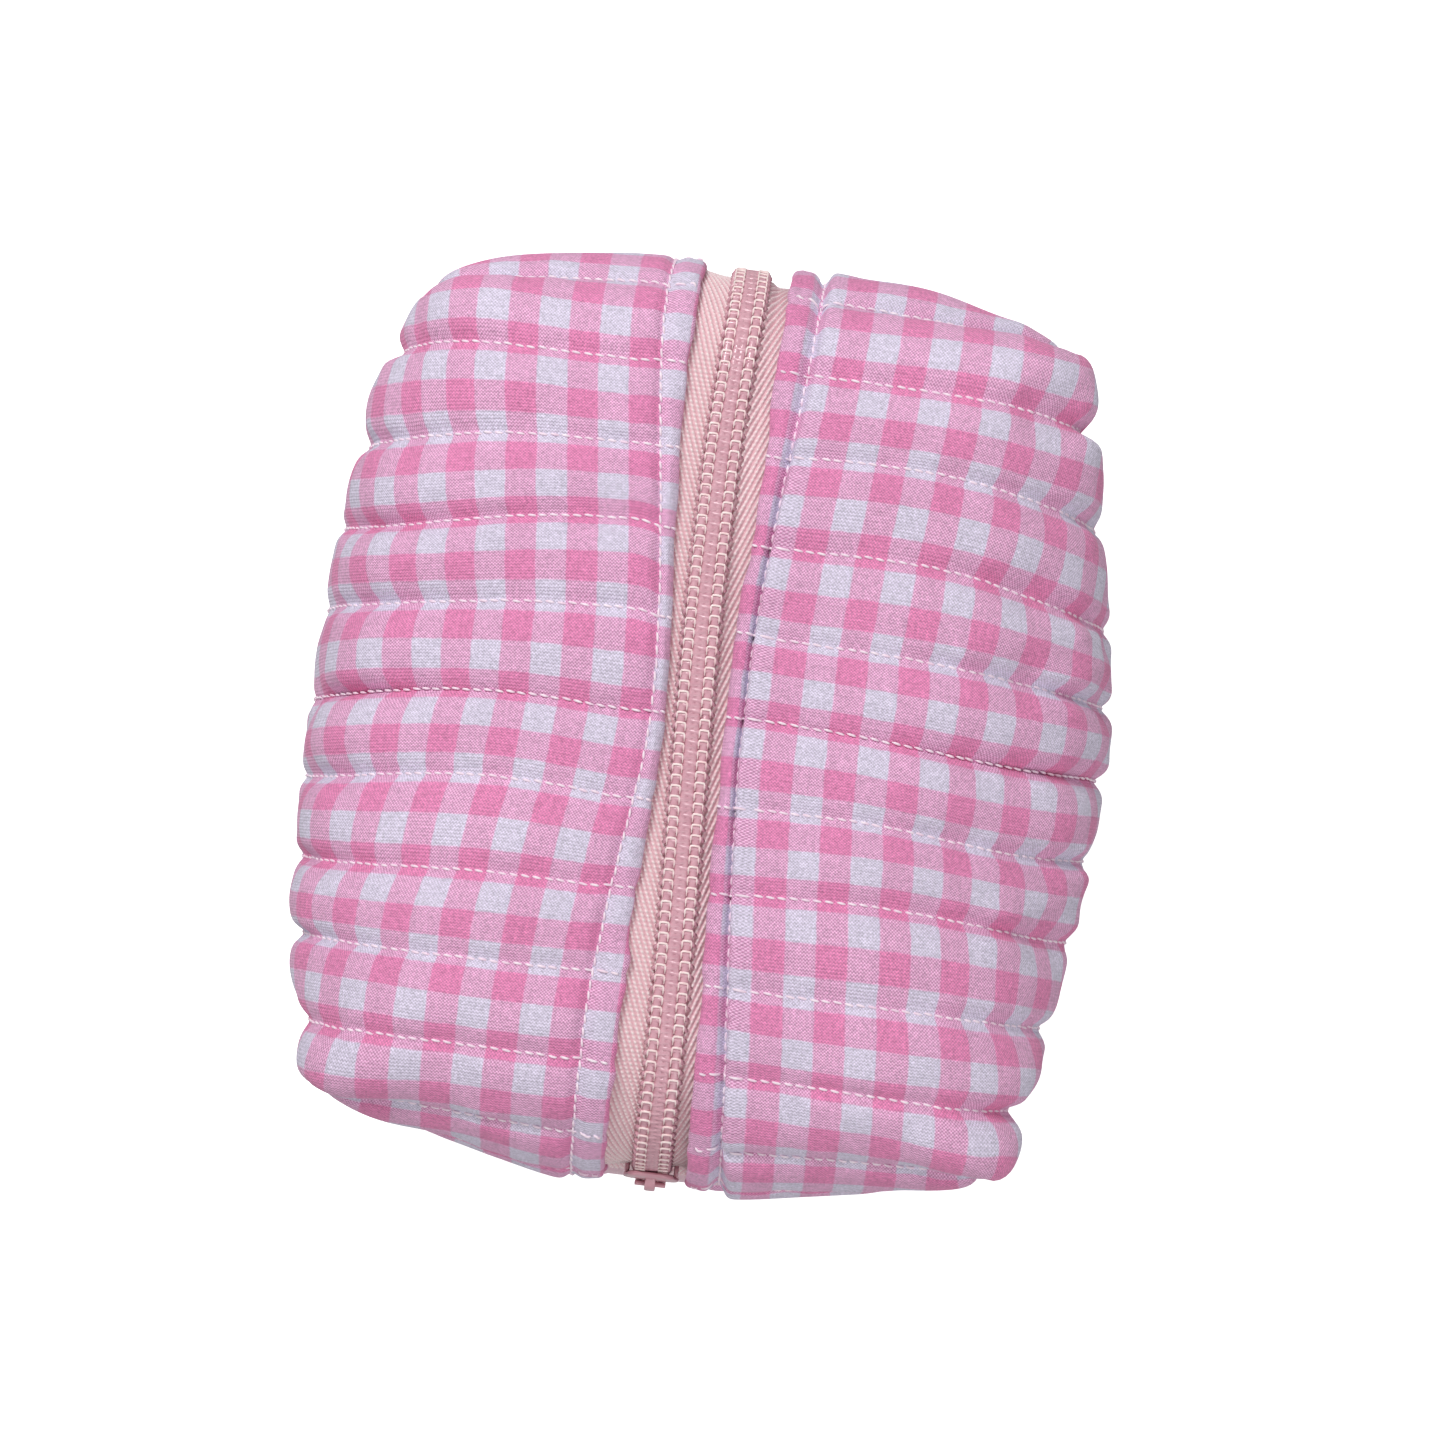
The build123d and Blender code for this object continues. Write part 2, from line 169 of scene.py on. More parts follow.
def rest_half(side, t, v):
    """Resting surface of the left or right half over cloth distances t (from the bottom's middle) and v (along)."""
    P = np.zeros((len(t), len(v), 3))
    q = np.clip(np.abs(v) / NOTCH_V, 0, 1)
    bow = 1 - q ** 2.0
    name = "left" if side < 0 else "right"
    corner, corner_l = (np.where(v < 0, CORNERS[name, "near"][k], CORNERS[name, "far"][k]) for k in (0, 1))
    half = corner + (HALF_W - corner) * bow
    upper = t > LOWER_T
    u = np.where(upper, FOLD_T - t, 0)
    along, end_drop = np.zeros((len(t), len(v))), np.zeros((len(t), len(v)))
    for i, ti in enumerate(t):
        if upper[i]:
            p = min(u[i] / NOTCH_U, 1)
            rise, total = TOP - SEAM_Z, UPPER_V
            radii = {e: CORNER_R + (r - CORNER_R) * (1 - p ** 2.6) for e, r in ZIP_R.items()}
            flat = 1.0
        else:
            p = min(max((ti - 9) / (NOTCH_T - 9), 0), 1)
            rise, total = SEAM_Z, LOWER_V
            radii = {e: CORNER_R + 18 * (1 - p ** 2) for e in ZIP_R}
            flat = 1.0 + 0.66 * (1 - p ** 2)
        for end, on in (("near", v < 0), ("far", v >= 0)):
            corner_y = CORNERS[name, end][1]
            length = corner_y + (HALF_L - corner_y) * (1 - p ** 1.7)
            y, d = arc_run(0, length, radii[end], radii[end] * flat, rise, np.minimum(np.abs(v[on]), total),
                           NOTCH_V - 5, total)
            along[i, on], end_drop[i, on] = y * np.sign(v[on]), d / rise
    for j in range(len(v)):
        b = bow[j] ** 0.9
        up = t > LOWER_T
        y_fold = along[-1, j]
        start = fold_x(side, y_fold) + strip_width(side, y_fold) - EDGE_STITCH_U
        x1, d1 = arc_run(start, half[j], CORNER_R + 59 * b, CORNER_R + 41 * b, TOP - SEAM_Z, u[up],
                         NOTCH_U - 5, UPPER_U)
        x0, d0 = arc_run(0, half[j], CORNER_R + 23 * b, CORNER_R + 35 * b, SEAM_Z, t[~up], NOTCH_T - 5, LOWER_T)
        P[up, j, 0], P[~up, j, 0] = x1, x0
        sag = 1 - CORNER_SAG * q[j] ** 4 * np.clip(u[up] / NOTCH_U, 0, 1) ** 3
        P[up, j, 2] = SEAM_Z + (TOP - SEAM_Z - d1) * (1 - end_drop[up, j]) * sag
        P[~up, j, 2] = SEAM_Z - (SEAM_Z - d0) * (1 - end_drop[~up, j])
    P[:, :, 1] = along
    # the two edges of a boxed corner run to one seam line
    seam_x, seam_y = corner - CORNER_SEAM, (corner_l - CORNER_SEAM)[None, :]
    tt, vv = t[:, None], np.abs(v)[None, :]
    inside = np.minimum(tt - NOTCH_T, (FOLD_T - NOTCH_U) - tt)
    on_side = smooth(1 - (NOTCH_V - vv) / 7.0) * smooth((inside + 1) / 6.0) * (vv <= NOTCH_V + 0.01)
    on_end = smooth(1 + inside / 7.0) * smooth((vv - NOTCH_V + 1) / 6.0) * (inside <= 0.01)
    P[:, :, 1] += on_side * np.sign(v) * (seam_y - np.abs(P[:, :, 1]))
    P[:, :, 0] -= on_side * CORNER_SEAM
    P[:, :, 0] += on_end * (seam_x[None, :] - P[:, :, 0])
    P[:, :, 1] -= on_end * np.sign(v) * CORNER_SEAM
    P[:, :, 0] *= side
    P[:, :, 1] = stuffed(P[:, :, 1])
    return P


def roll_edges(P, N):
    """Turns the strip beside each folded edge down over the wadding."""
    for side, rows in ((-1, np.nonzero((WW[:, 0] < 0) & (UU[:, 0] < EDGE_STITCH_U))[0]),
                       (1, np.nonzero((WW[:, 0] > 0) & (UU[:, 0] < EDGE_STITCH_U))[0])):
        seam = rows[-1] + 1 if side < 0 else rows[0] - 1
        width = strip_width(side, P[seam, :, 1])
        depth = np.sqrt(np.clip(31 - width ** 2, 0.3, None)) * 0.62
        for i in rows:
            angle = (1 - UU[i, 0] / EDGE_STITCH_U) * math.radians(84)
            P[i] = P[seam] - N[seam] * (depth * (1 - math.cos(angle)))[:, None]
            P[i, :, 0] -= side * width * math.sin(angle)
    return P


def normals(P):
    """Outward normals of a grid whose rows run from the left fold under the bag to the right fold."""
    n = np.cross(np.gradient(P, axis=1), np.gradient(P, axis=0))
    return n / np.maximum(np.linalg.norm(n, axis=2, keepdims=True), 1e-9)


def stations(cuts, step):
    """Values from the first cut to the last, evenly spaced between cuts and hitting each of them."""
    parts = [np.linspace(a, b, max(1, round((b - a) / step)) + 1)[:-1] for a, b in zip(cuts[:-1], cuts[1:])]
    return np.concatenate(parts + [[cuts[-1]]])


LINES = [k * PITCH for k in LINE_NUMBERS]
half_t = np.concatenate([stations([0, NOTCH_T, LOWER_T, FOLD_T - NOTCH_U, FOLD_T - 10], STEP)[:-1],
                         stations([FOLD_T - 10, FOLD_T - EDGE_STITCH_U, FOLD_T], 0.62)])
W = np.concatenate([-half_t[::-1], half_t[1:]])
V = stations(sorted([-UPPER_V, UPPER_V, -NOTCH_V, NOTCH_V] + LINES), STEP)
fine_v = np.linspace(-UPPER_V, UPPER_V, 521)
base_fine = np.concatenate([rest_half(-1, half_t, fine_v)[::-1], rest_half(1, half_t, fine_v)[1:]])

WW, VV = np.meshgrid(W, V, indexing="ij")
TT = np.abs(WW)
UU = FOLD_T - TT
hold = 1 - np.clip(np.abs(VV) / NOTCH_V, 0, 1) ** 4
droop = -2.6 * smooth((UU - 25) / 55) * smooth((TT - 20) / 60)
wander = 0.9 * waves(WW, VV * 1.6, 6, 60, 3) * smooth(UU / 12)
warped_v = VV + hold * (droop + wander)
base = np.zeros(WW.shape + (3,))
for i in range(len(W)):
    for c in range(3):
        base[i, :, c] = np.interp(warped_v[i], fine_v, base_fine[i, :, c])

# ---- quilting: puffed between the lines, drawn in at them
to_line = np.abs(VV / PITCH - np.round(VV / PITCH)) * PITCH
puff = np.abs(np.sin(math.pi * VV / PITCH)) ** 0.72
height = 1.1 + 2.1 * smooth((UU - 8) / 75) - 1.3 * smooth((NOTCH_T + 8 - TT) / 30)
height -= 1.6 * bell((UU - 98) / 14)
height = height * (1 + 0.22 * waves(WW, VV, 6, 28, 5))
groove = 1 - 0.9 * bell((UU - EDGE_STITCH_U) / 1.7)
notch_gap = np.hypot(np.clip(np.maximum(NOTCH_T - TT, TT - (FOLD_T - NOTCH_U)), 0, None),
                     np.clip(NOTCH_V - np.abs(VV), 0, None))
rim = smooth((UPPER_V - np.abs(VV)) / 5) * smooth(notch_gap / 5)
strip = np.where(UU < EDGE_STITCH_U, 0.12 + 0.3 * smooth((UU - 2) / 3), 1.0)
outer = smooth((UU - 35) / 45)
pucker = waves(WW, VV * 0.25, 8, 5.0, 9) * bell((to_line - 2.2) / 2.4) * (0.24 + 0.2 * outer)
pucker += waves(WW, VV * 0.35, 6, 11.0, 19) * bell((to_line - 3) / 3.2) * (0.15 + 0.65 * outer * (WW > 0))
soft = waves(WW, VV, 8, 16, 21) * 0.22
crease = 0.9 + np.where(WW > 0, 1.9, 1.1) * outer * (1 - 0.95 * bell((UU - 98) / 13)) - 0.5 * bell((UU - 98) / 11)
lift = ((height * puff * strip * groove + (pucker + soft) * puff ** 0.5) * rim
        - crease * bell(to_line / 1.5) * rim * strip)
lift -= np.where(WW > 0, 2.8, 0.9) * bell((UU - EDGE_STITCH_U) / np.where(WW > 0, 1.15, 1.0))
flat_N = normals(base)
base = roll_edges(base, flat_N)
N0 = normals(base)
quilt = base + N0 * lift[:, :, None]
# on the right the puffed panel leans over the sunk edge stitching, except near the far end
lean = (bell((UU - 8.1) / 1.5) * (WW > 0) * (UU > EDGE_STITCH_U)
        * (1 - 0.75 * smooth((base[:, :, 1] - 40) / 35)) * smooth((97 + base[:, :, 1]) / 12))
ripple = 1 + 0.3 * np.sin(2 * math.pi * VV / 2.9) * waves(WW * 0, VV, 4, 14, 41)
quilt[:, :, 0] -= 1.9 * lean * ripple
quilt += N0 * (0.8 * lean)[:, :, None]

# faces of the grid that are cloth, not the cut-out of a boxed corner
mid_t = (TT[:-1, :-1] + TT[1:, 1:]) / 2
mid_v = np.abs(VV[:-1, :-1] + VV[1:, 1:]) / 2
KEEP = ~((mid_t > NOTCH_T) & (mid_t < FOLD_T - NOTCH_U) & (mid_v > NOTCH_V))


def grid_mesh(name, P, keep=None, uv=None, material=None):
    """A mesh from a grid of points in millimetres; uv, in millimetres too, goes to the UV map."""
    n, m = P.shape[:2]
    index = np.arange(n * m).reshape(n, m)
    quads = np.stack([index[:-1, :-1], index[:-1, 1:], index[1:, 1:], index[1:, :-1]], axis=-1)
    quads = quads[keep] if keep is not None else quads.reshape(-1, 4)
    used = np.unique(quads)
    renumber = np.zeros(n * m, int)
    renumber[used] = np.arange(len(used))
    return raw_mesh(name, P.reshape(-1, 3)[used], renumber[quads],
                    None if uv is None else uv.reshape(-1, 2)[used], material)


def raw_mesh(name, points, faces, uv, material):
    """A mesh from points in millimetres and the numbers of each face's points."""
    mesh = bpy.data.meshes.new(name)
    faces = faces if isinstance(faces, list) else faces.tolist()
    mesh.from_pydata((np.asarray(points) * MM).tolist(), [], faces)
    if uv is not None:
        layer = mesh.uv_layers.new(name="UVMap")
        loops = np.zeros(len(mesh.loops), int)
        mesh.loops.foreach_get("vertex_index", loops)
        layer.data.foreach_set("uv", (uv[loops] * UV_UNIT).astype(np.float32).ravel())
    mesh.polygons.foreach_set("use_smooth", [True] * len(mesh.polygons))
    if material is not None:
        mesh.materials.append(material)
    mesh.update()
    obj = bpy.data.objects.new(name, mesh)
    bpy.context.scene.collection.objects.link(obj)
    return obj


def subdivided(obj):
    mod = obj.modifiers.new("Subdivision", "SUBSURF")
    mod.levels = mod.render_levels = 1
    mod.uv_smooth = "PRESERVE_BOUNDARIES"
    bpy.context.view_layer.update()
    evaluated = obj.evaluated_get(bpy.context.evaluated_depsgraph_get())
    mesh = bpy.data.meshes.new_from_object(evaluated)
    obj.modifiers.clear()
    obj.data = mesh
    return obj


def simulate(P, keep, pinned):
    """Blows the quilted cloth up with the sewing lines held still, and returns the new grid."""
    obj = grid_mesh("simulated", P)
    keep_vertex = np.zeros(P.shape[:2], bool)
    for a in (0, 1):
        for b in (0, 1):
            view = keep_vertex[a:P.shape[0] - 1 + a, b:P.shape[1] - 1 + b]
            view |= keep
    group = obj.vertex_groups.new(name="pins")
    group.add(np.nonzero((pinned | ~keep_vertex).ravel())[0].tolist(), 1.0, "REPLACE")
    mod = obj.modifiers.new("Cloth", "CLOTH")
    s = mod.settings
    s.quality = 4
    s.mass = 0.15
    s.tension_stiffness = s.compression_stiffness = 14
    s.shear_stiffness = 3
    s.bending_stiffness = 0.05
    s.shrink_min = -0.035
    s.vertex_group_mass = "pins"
    s.use_pressure = True
    s.uniform_pressure_force = 14.0
    s.effector_weights.gravity = 0
    mod.collision_settings.use_collision = False
    mod.point_cache.frame_start, mod.point_cache.frame_end = 1, SIM_FRAMES
    scene = bpy.context.scene
    for f in range(1, SIM_FRAMES + 1):
        scene.frame_set(f)
    evaluated = obj.evaluated_get(bpy.context.evaluated_depsgraph_get())
    out = np.zeros(P.size, np.float32)
    evaluated.data.vertices.foreach_get("co", out)
    scene.frame_set(1)
    bpy.data.objects.remove(obj)
    return out.reshape(P.shape).astype(float) / MM


on_line = to_line < 0.05
pinned = on_line | (UU < 0.01) | (np.abs(UU - EDGE_STITCH_U) < 0.05) | (np.abs(VV) > UPPER_V - 0.01)
pinned |= (notch_gap < 0.05)
blown = simulate(quilt, KEEP, pinned)
move = blown - quilt
far = np.linalg.norm(move, axis=2, keepdims=True)
quilt = quilt + move * np.minimum(1, SIM_CAP / np.maximum(far, 1e-9))
quilt[:, :, 2] = np.maximum(quilt[:, :, 2], FLOOR_GAP)
# the hanging pull tab presses a dent into the near end
dent = bell(quilt[:, :, 0] / 7.5) * smooth((quilt[:, :, 2] - 20) / 10)
past = np.clip(TAB_REST_Y - quilt[:, :, 1], 0, None)
quilt[:, :, 1] += past * np.minimum(1, 1.5 * dent)
NQ = normals(quilt)


class Field:
    """The finished cloth, read at any cloth coordinates w and v."""

    def __init__(self, w, v, P, N):
        self.w, self.v, self.P, self.N = w, v, P, N

    def at(self, w, v):
        i = np.clip(np.searchsorted(self.w, w) - 1, 0, len(self.w) - 2)
        j = np.clip(np.searchsorted(self.v, v) - 1, 0, len(self.v) - 2)
        a = ((w - self.w[i]) / (self.w[i + 1] - self.w[i]))[..., None]
        b = ((v - self.v[j]) / (self.v[j + 1] - self.v[j]))[..., None]

        def mix(F):
            return (F[i, j] * (1 - a) * (1 - b) + F[i + 1, j] * a * (1 - b)
                    + F[i, j + 1] * (1 - a) * b + F[i + 1, j + 1] * a * b)
        n = mix(self.N)
        return mix(self.P), n / np.linalg.norm(n, axis=-1, keepdims=True)


def eased(P):
    """A grid with its creases as one round of subdivision leaves them."""
    P = P.copy()
    P[1:-1] = 0.75 * P[1:-1] + 0.125 * (P[:-2] + P[2:])
    P[:, 1:-1] = 0.75 * P[:, 1:-1] + 0.125 * (P[:, :-2] + P[:, 2:])
    return P


cloth = Field(W, V, eased(quilt), NQ)


# ---- materials

def rgb(r, g, b):
    """sRGB 0-255 to linear."""
    c = np.array([r, g, b]) / 255
    lin = np.where(c <= 0.04045, c / 12.92, ((c + 0.055) / 1.055) ** 2.4)
    return (*lin.tolist(), 1.0)


class Nodes:
    def __init__(self, name):
        self.mat = bpy.data.materials.new(name)
        self.mat.use_nodes = True
        self.tree = self.mat.node_tree
        self.bsdf = next(n for n in self.tree.nodes if n.type == "BSDF_PRINCIPLED")

    def set(self, **values):
        names = {"roughness": "Roughness", "metallic": "Metallic", "sheen": "Sheen Weight",
                 "sheen_roughness": "Sheen Roughness", "coat": "Coat Weight", "coat_roughness": "Coat Roughness",
                 "specular": "Specular IOR Level", "subsurface": "Subsurface Weight"}
        for key, value in values.items():
            self.bsdf.inputs[names[key]].default_value = value
        return self

    def node(self, kind, inputs=None, **props):
        n = self.tree.nodes.new(kind)
        for k, value in props.items():
            setattr(n, k, value)
        for k, value in (inputs or {}).items():
            if isinstance(value, bpy.types.NodeSocket):
                self.tree.links.new(value, n.inputs[k])
            else:
                n.inputs[k].default_value = value
        return n

    def math(self, op, a, b=0.0, c=0.0):
        return self.node("ShaderNodeMath", {0: a, 1: b, 2: c}, operation=op).outputs[0]

    def mix(self, f, a, b):
        n = self.node("ShaderNodeMix", data_type="RGBA")
        for key, value in ((0, f), (6, a), (7, b)):
            if isinstance(value, bpy.types.NodeSocket):
                self.tree.links.new(value, n.inputs[key])
            else:
                n.inputs[key].default_value = value
        return n.outputs[2]

    def uv_mm(self):
        """The UV map's two coordinates, in millimetres."""
        parts = self.node("ShaderNodeSeparateXYZ", {0: self.node("ShaderNodeTexCoord").outputs["UV"]}).outputs
        return self.math("MULTIPLY", parts[0], 1 / UV_UNIT), self.math("MULTIPLY", parts[1], 1 / UV_UNIT)

    def noise(self, scale, detail=2.0, vector=None, rough=0.5):
        """Noise of the given scale per metre, in object space unless a vector is given."""
        vector = vector or self.node("ShaderNodeTexCoord").outputs["Object"]
        return self.node("ShaderNodeTexNoise", {"Vector": vector, "Scale": scale, "Detail": detail,
                                                "Roughness": rough}).outputs["Fac"]

    def between(self, value, low, high, to_low=0.0, to_high=1.0):
        return self.node("ShaderNodeMapRange", {0: value, 1: low, 2: high, 3: to_low, 4: to_high}).outputs[0]

    def thread(self, x, pitch, offset=0.0):
        """0 to 1 across each thread of the given pitch."""
        turned = self.math("MULTIPLY_ADD", x, 2 * math.pi / pitch, offset)
        return self.math("MULTIPLY_ADD", self.math("SINE", turned), 0.5, 0.5)

    def bump(self, h, strength, distance):
        n = self.node("ShaderNodeBump", {"Strength": strength, "Distance": distance, "Height": h})
        self.tree.links.new(n.outputs[0], self.bsdf.inputs["Normal"])

    def colour(self, c):
        self.tree.links.new(c, self.bsdf.inputs["Base Color"])
        return self.mat


def band(m, x):
    """1 on every other check, 0 on the rest, with woven edges."""
    edge = 0.35
    shifted = m.math("PINGPONG", m.math("ADD", x, CHECK / 2), CHECK)
    return m.between(shifted, CHECK / 2 - edge / 2, CHECK / 2 + edge / 2)


def gingham(name, deep, mid, pale):
    m = Nodes(name).set(roughness=0.86, sheen=0.18, sheen_roughness=0.45, specular=0.18)
    u, v = m.uv_mm()
    jitter = m.math("MULTIPLY_ADD", m.noise(420, 2), 0.5, -0.25)
    u2, v2 = m.math("ADD", u, jitter), m.math("ADD", v, jitter)
    across, along = band(m, u2), band(m, v2)
    # plain weave: warp threads on top in one half of the crossings, weft in the other
    warp, weft = m.thread(u, YARN), m.thread(v, YARN)
    over = m.between(m.math("MULTIPLY", m.math("SUBTRACT", warp, 0.5), m.math("SUBTRACT", weft, 0.5)), -0.12, 0.12)
    single = m.mix(over, mid[0], mid[1])
    both = m.math("MULTIPLY", across, along)
    either = m.math("MAXIMUM", across, along)
    colour = m.mix(both, m.mix(either, pale, single), deep)

    def yarns(a, b):
        """Lighter and darker yarns, running along b."""
        vector = m.node("ShaderNodeCombineXYZ", {0: m.math("MULTIPLY", a, 2.1), 1: m.math("MULTIPLY", b, 0.16)})
        return m.between(m.noise(1.0, 2, vector.outputs[0], 0.6), 0.3, 0.7, 0.91, 1.08)

    streaks = m.mix(over, yarns(u, v), yarns(v, u))
    slub = m.between(m.noise(1500, 3, rough=0.75), 0.3, 0.7, 0.74, 1.22)
    cloud = m.between(m.noise(30, 2), 0.3, 0.7, 0.965, 1.02)
    tone = m.math("MULTIPLY", m.math("MULTIPLY", slub, cloud), m.between(over, 0, 1, 0.82, 1.13))
    tone = m.math("MULTIPLY", tone, streaks)
    weave = m.math("ADD", m.math("MULTIPLY", warp, over), m.math("MULTIPLY", weft, m.math("SUBTRACT", 1.0, over)))
    grain = m.math("MULTIPLY_ADD", m.noise(1500, 2), 0.8, weave)
    m.bump(grain, 0.7, 0.00018)
    scaled = m.node("ShaderNodeVectorMath", {0: colour, 1: (1, 1, 1)}, operation="MULTIPLY")
    triple = m.node("ShaderNodeCombineXYZ", {0: tone, 1: tone, 2: tone}).outputs[0]
    m.tree.links.new(triple, scaled.inputs[1])
    return m.colour(scaled.outputs[0])


COTTON = gingham("printed_cotton", rgb(236, 144, 190), (rgb(229, 158, 201), rgb(239, 191, 222)), rgb(227, 217, 238))


def plain_cloth(name, a, b, pitch, bump_mm, rough, sheen):
    m = Nodes(name).set(roughness=rough, sheen=sheen, sheen_roughness=0.4, specular=0.3)
    u, v = m.uv_mm()
    warp, weft = m.thread(u, pitch), m.thread(v, pitch)
    weave = m.math("MULTIPLY", warp, weft)
    dirt = m.between(m.noise(260, 3), 0.3, 0.7)
    m.bump(m.math("MULTIPLY_ADD", m.noise(1400, 2), 0.6, weave), 0.5, bump_mm * MM)
    return m.colour(m.mix(m.math("MULTIPLY_ADD", weave, 0.5, m.math("MULTIPLY", dirt, 0.5)), a, b))


LINING = plain_cloth("lining", rgb(236, 214, 222), rgb(247, 234, 239), 0.6, 0.1, 0.85, 0.15)
BINDING = plain_cloth("binding", rgb(226, 170, 194), rgb(240, 200, 217), 0.8, 0.15, 0.7, 0.2)


def ribbed_tape(name, low, high):
    """Satin tape: the colour follows the ribs that the mesh has, lightened to a painted highlight on the rib tops
    and beads, with a little random tone in the fibre.
    """
    m = Nodes(name).set(roughness=0.42, sheen=0.25, sheen_roughness=0.35, specular=0.45)
    x, s = m.uv_mm()
    phase = m.math("SUBTRACT", m.math("DIVIDE", s, RIB_S), m.math("DIVIDE", x, RIB_X))
    rib = m.thread(phase, 1.0)
    fibre = m.between(m.noise(2200, 2), 0.3, 0.7)
    m.bump(m.math("MULTIPLY_ADD", m.noise(2600, 2), 0.5, rib), 0.5, 0.00012)
    bead = m.between(m.thread(s, BEAD), 0.0, 1.0, 0.45, 1.0)
    # painted highlight: rib tops and beads lightened toward the near-white second colour
    painted_rib_highlight = m.math("MULTIPLY", m.math("MULTIPLY", rib, bead), 0.85)
    return m.colour(m.mix(m.math("MULTIPLY_ADD", fibre, 0.25, painted_rib_highlight), low, high))


# the second colour is the painted highlight of the tape's ribs
TAPE = ribbed_tape("zip_tape", rgb(222, 167, 178), rgb(255, 242, 241))


def glossy(name, a, b, rough, coat, scale=700, bump_mm=0.02):
    m = Nodes(name).set(roughness=rough, coat=coat, coat_roughness=0.2, specular=0.5)
    n = m.noise(scale, 3)
    m.bump(m.noise(scale * 2.2, 2), 0.4, bump_mm * MM)
    return m.colour(m.mix(m.between(n, 0.3, 0.7), a, b))


THREAD = glossy("thread", rgb(244, 214, 232), rgb(255, 243, 250), 0.42, 0.15)
COIL = glossy("zip_coil", rgb(208, 154, 168), rgb(222, 172, 184), 0.25, 0.5)
COIL_THREAD = glossy("zip_coil_thread", rgb(255, 220, 220), rgb(255, 242, 238), 0.35, 0.25)


# ---- many small tubes in one mesh

def signed_power(x, p):
    return np.sign(x) * np.abs(x) ** p


def ring_faces(index, closed=False):
    """Quads between rings of points numbered (..., rings, points round); closed joins the last ring to the first."""
    a, b = (index, np.roll(index, -1, axis=-2)) if closed else (index[..., :-1, :], index[..., 1:, :])
    return np.stack([a, np.roll(a, -1, axis=-1), np.roll(b, -1, axis=-1), b], axis=-1).reshape(-1, 4).tolist()


def tubes(name, P, N, radius, material, sides=7):
    """P and N are (count, points, 3): one tube along each row of points."""
    count, points = P.shape[:2]
    T = np.gradient(P, axis=1)
    T /= np.maximum(np.linalg.norm(T, axis=2, keepdims=True), 1e-9)
    B = np.cross(T, N)
    B /= np.maximum(np.linalg.norm(B, axis=2, keepdims=True), 1e-9)
    M = np.cross(B, T)
    ends = np.ones(points)
    ends[0] = ends[-1] = 0.35
    ends[1] = ends[-2] = 0.85
    angle = np.arange(sides) * 2 * math.pi / sides
    ring = (M[:, :, None] * np.cos(angle)[:, None] + B[:, :, None] * np.sin(angle)[:, None])
    pts = P[:, :, None] + ring * (radius * ends)[None, :, None, None]
    index = np.arange(count * points * sides).reshape(count, points, sides)
    faces = ring_faces(index) + index[:, 0, ::-1].tolist() + index[:, -1].tolist()
    return raw_mesh(name, pts.reshape(-1, 3), faces, None, material)


def joined(name, objs):
    """Several pieces as one, keeping each one's material."""
    with bpy.context.temp_override(active_object=objs[0], selected_editable_objects=objs, object=objs[0]):
        bpy.ops.object.join()
    objs[0].name = name
    objs[0].data.name = name
    return objs[0]


# ---- pieces, in near and far halves

NEAR_BEND = ((0, -0.066, 0.09), (0, -0.012, 0.09))
FAR_BEND = ((0, 0.090, 0.09), (0, 0.014, 0.09))
HALVES = {"near": NEAR_BEND, "far": FAR_BEND}


def bend(obj):
    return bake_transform(obj)


def between_rows(values, low, high):
    """Numbers of the grid lines from low to high."""
    return np.nonzero((values >= low - 1e-6) & (values <= high + 1e-6))[0]


def columns(half):
    return between_rows(V, -UPPER_V, 0) if half == "near" else between_rows(V, 0, UPPER_V)


for side, sign in SIDES.items():
    for half in HALVES:
        cols = columns(half)
        rows = between_rows(W * sign, LOWER_T, FOLD_T)
        P = quilt[np.ix_(rows, cols)]
        N = NQ[np.ix_(rows, cols)]
        keep = KEEP[np.ix_(rows[:-1], cols[:-1])]
        uv = np.stack([UU[np.ix_(rows, cols)] + CHECK_SHIFT[side],
                       VV[np.ix_(rows, cols)] * CLOTH_PITCH / PITCH + CHECK_START], axis=-1)
        if sign < 0:
            edge, inner, out_n, out_uv = P[0], P[2], N[0], uv[0]
        else:
            edge, inner, out_n, out_uv = P[-1], P[-3], N[-1], uv[-1]
        # the edge turns under and runs on beneath the tape's edge
        seam_n = flat_N[0 if sign < 0 else -1][cols]
        back = inner - edge
        back -= out_n * np.sum(back * out_n, axis=1, keepdims=True)
        back /= np.linalg.norm(back, axis=1, keepdims=True)
        sweep = math.pi - np.arccos(np.clip(np.sum(out_n * seam_n, axis=1), -1, 1))
        roll = []
        for share in np.linspace(0, 1, 8)[1:]:
            angle = (share * sweep)[:, None]
            roll.append((edge + ROLL_R * (out_n * (np.cos(angle) - 1) - back * np.sin(angle)), ROLL_R * share * 2.6))
        last = roll[-1][0]
        for reach in (1.5, 3, 5, 7, 9):
            roll.append((last + np.array([sign * reach, 0, 0]), ROLL_R * 2.6 + reach))
        extra = np.array([r[0] for r in roll])
        extra_uv = np.array([out_uv - np.array([r[1], 0]) for r in roll])
        if sign < 0:
            P = np.concatenate([extra[::-1], P])
            uv = np.concatenate([extra_uv[::-1], uv])
            keep = np.concatenate([np.ones((len(roll), keep.shape[1]), bool), keep])
        else:
            P = np.concatenate([P, extra])
            uv = np.concatenate([uv, extra_uv])
            keep = np.concatenate([keep, np.ones((len(roll), keep.shape[1]), bool)])
        obj = subdivided(grid_mesh(f"panel_{side}_{half}", P, keep, uv, COTTON))
        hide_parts(f"cotton_top_{side}", f"wadding_top_{side}", f"cotton_{half}_{side}")
        bend(obj)


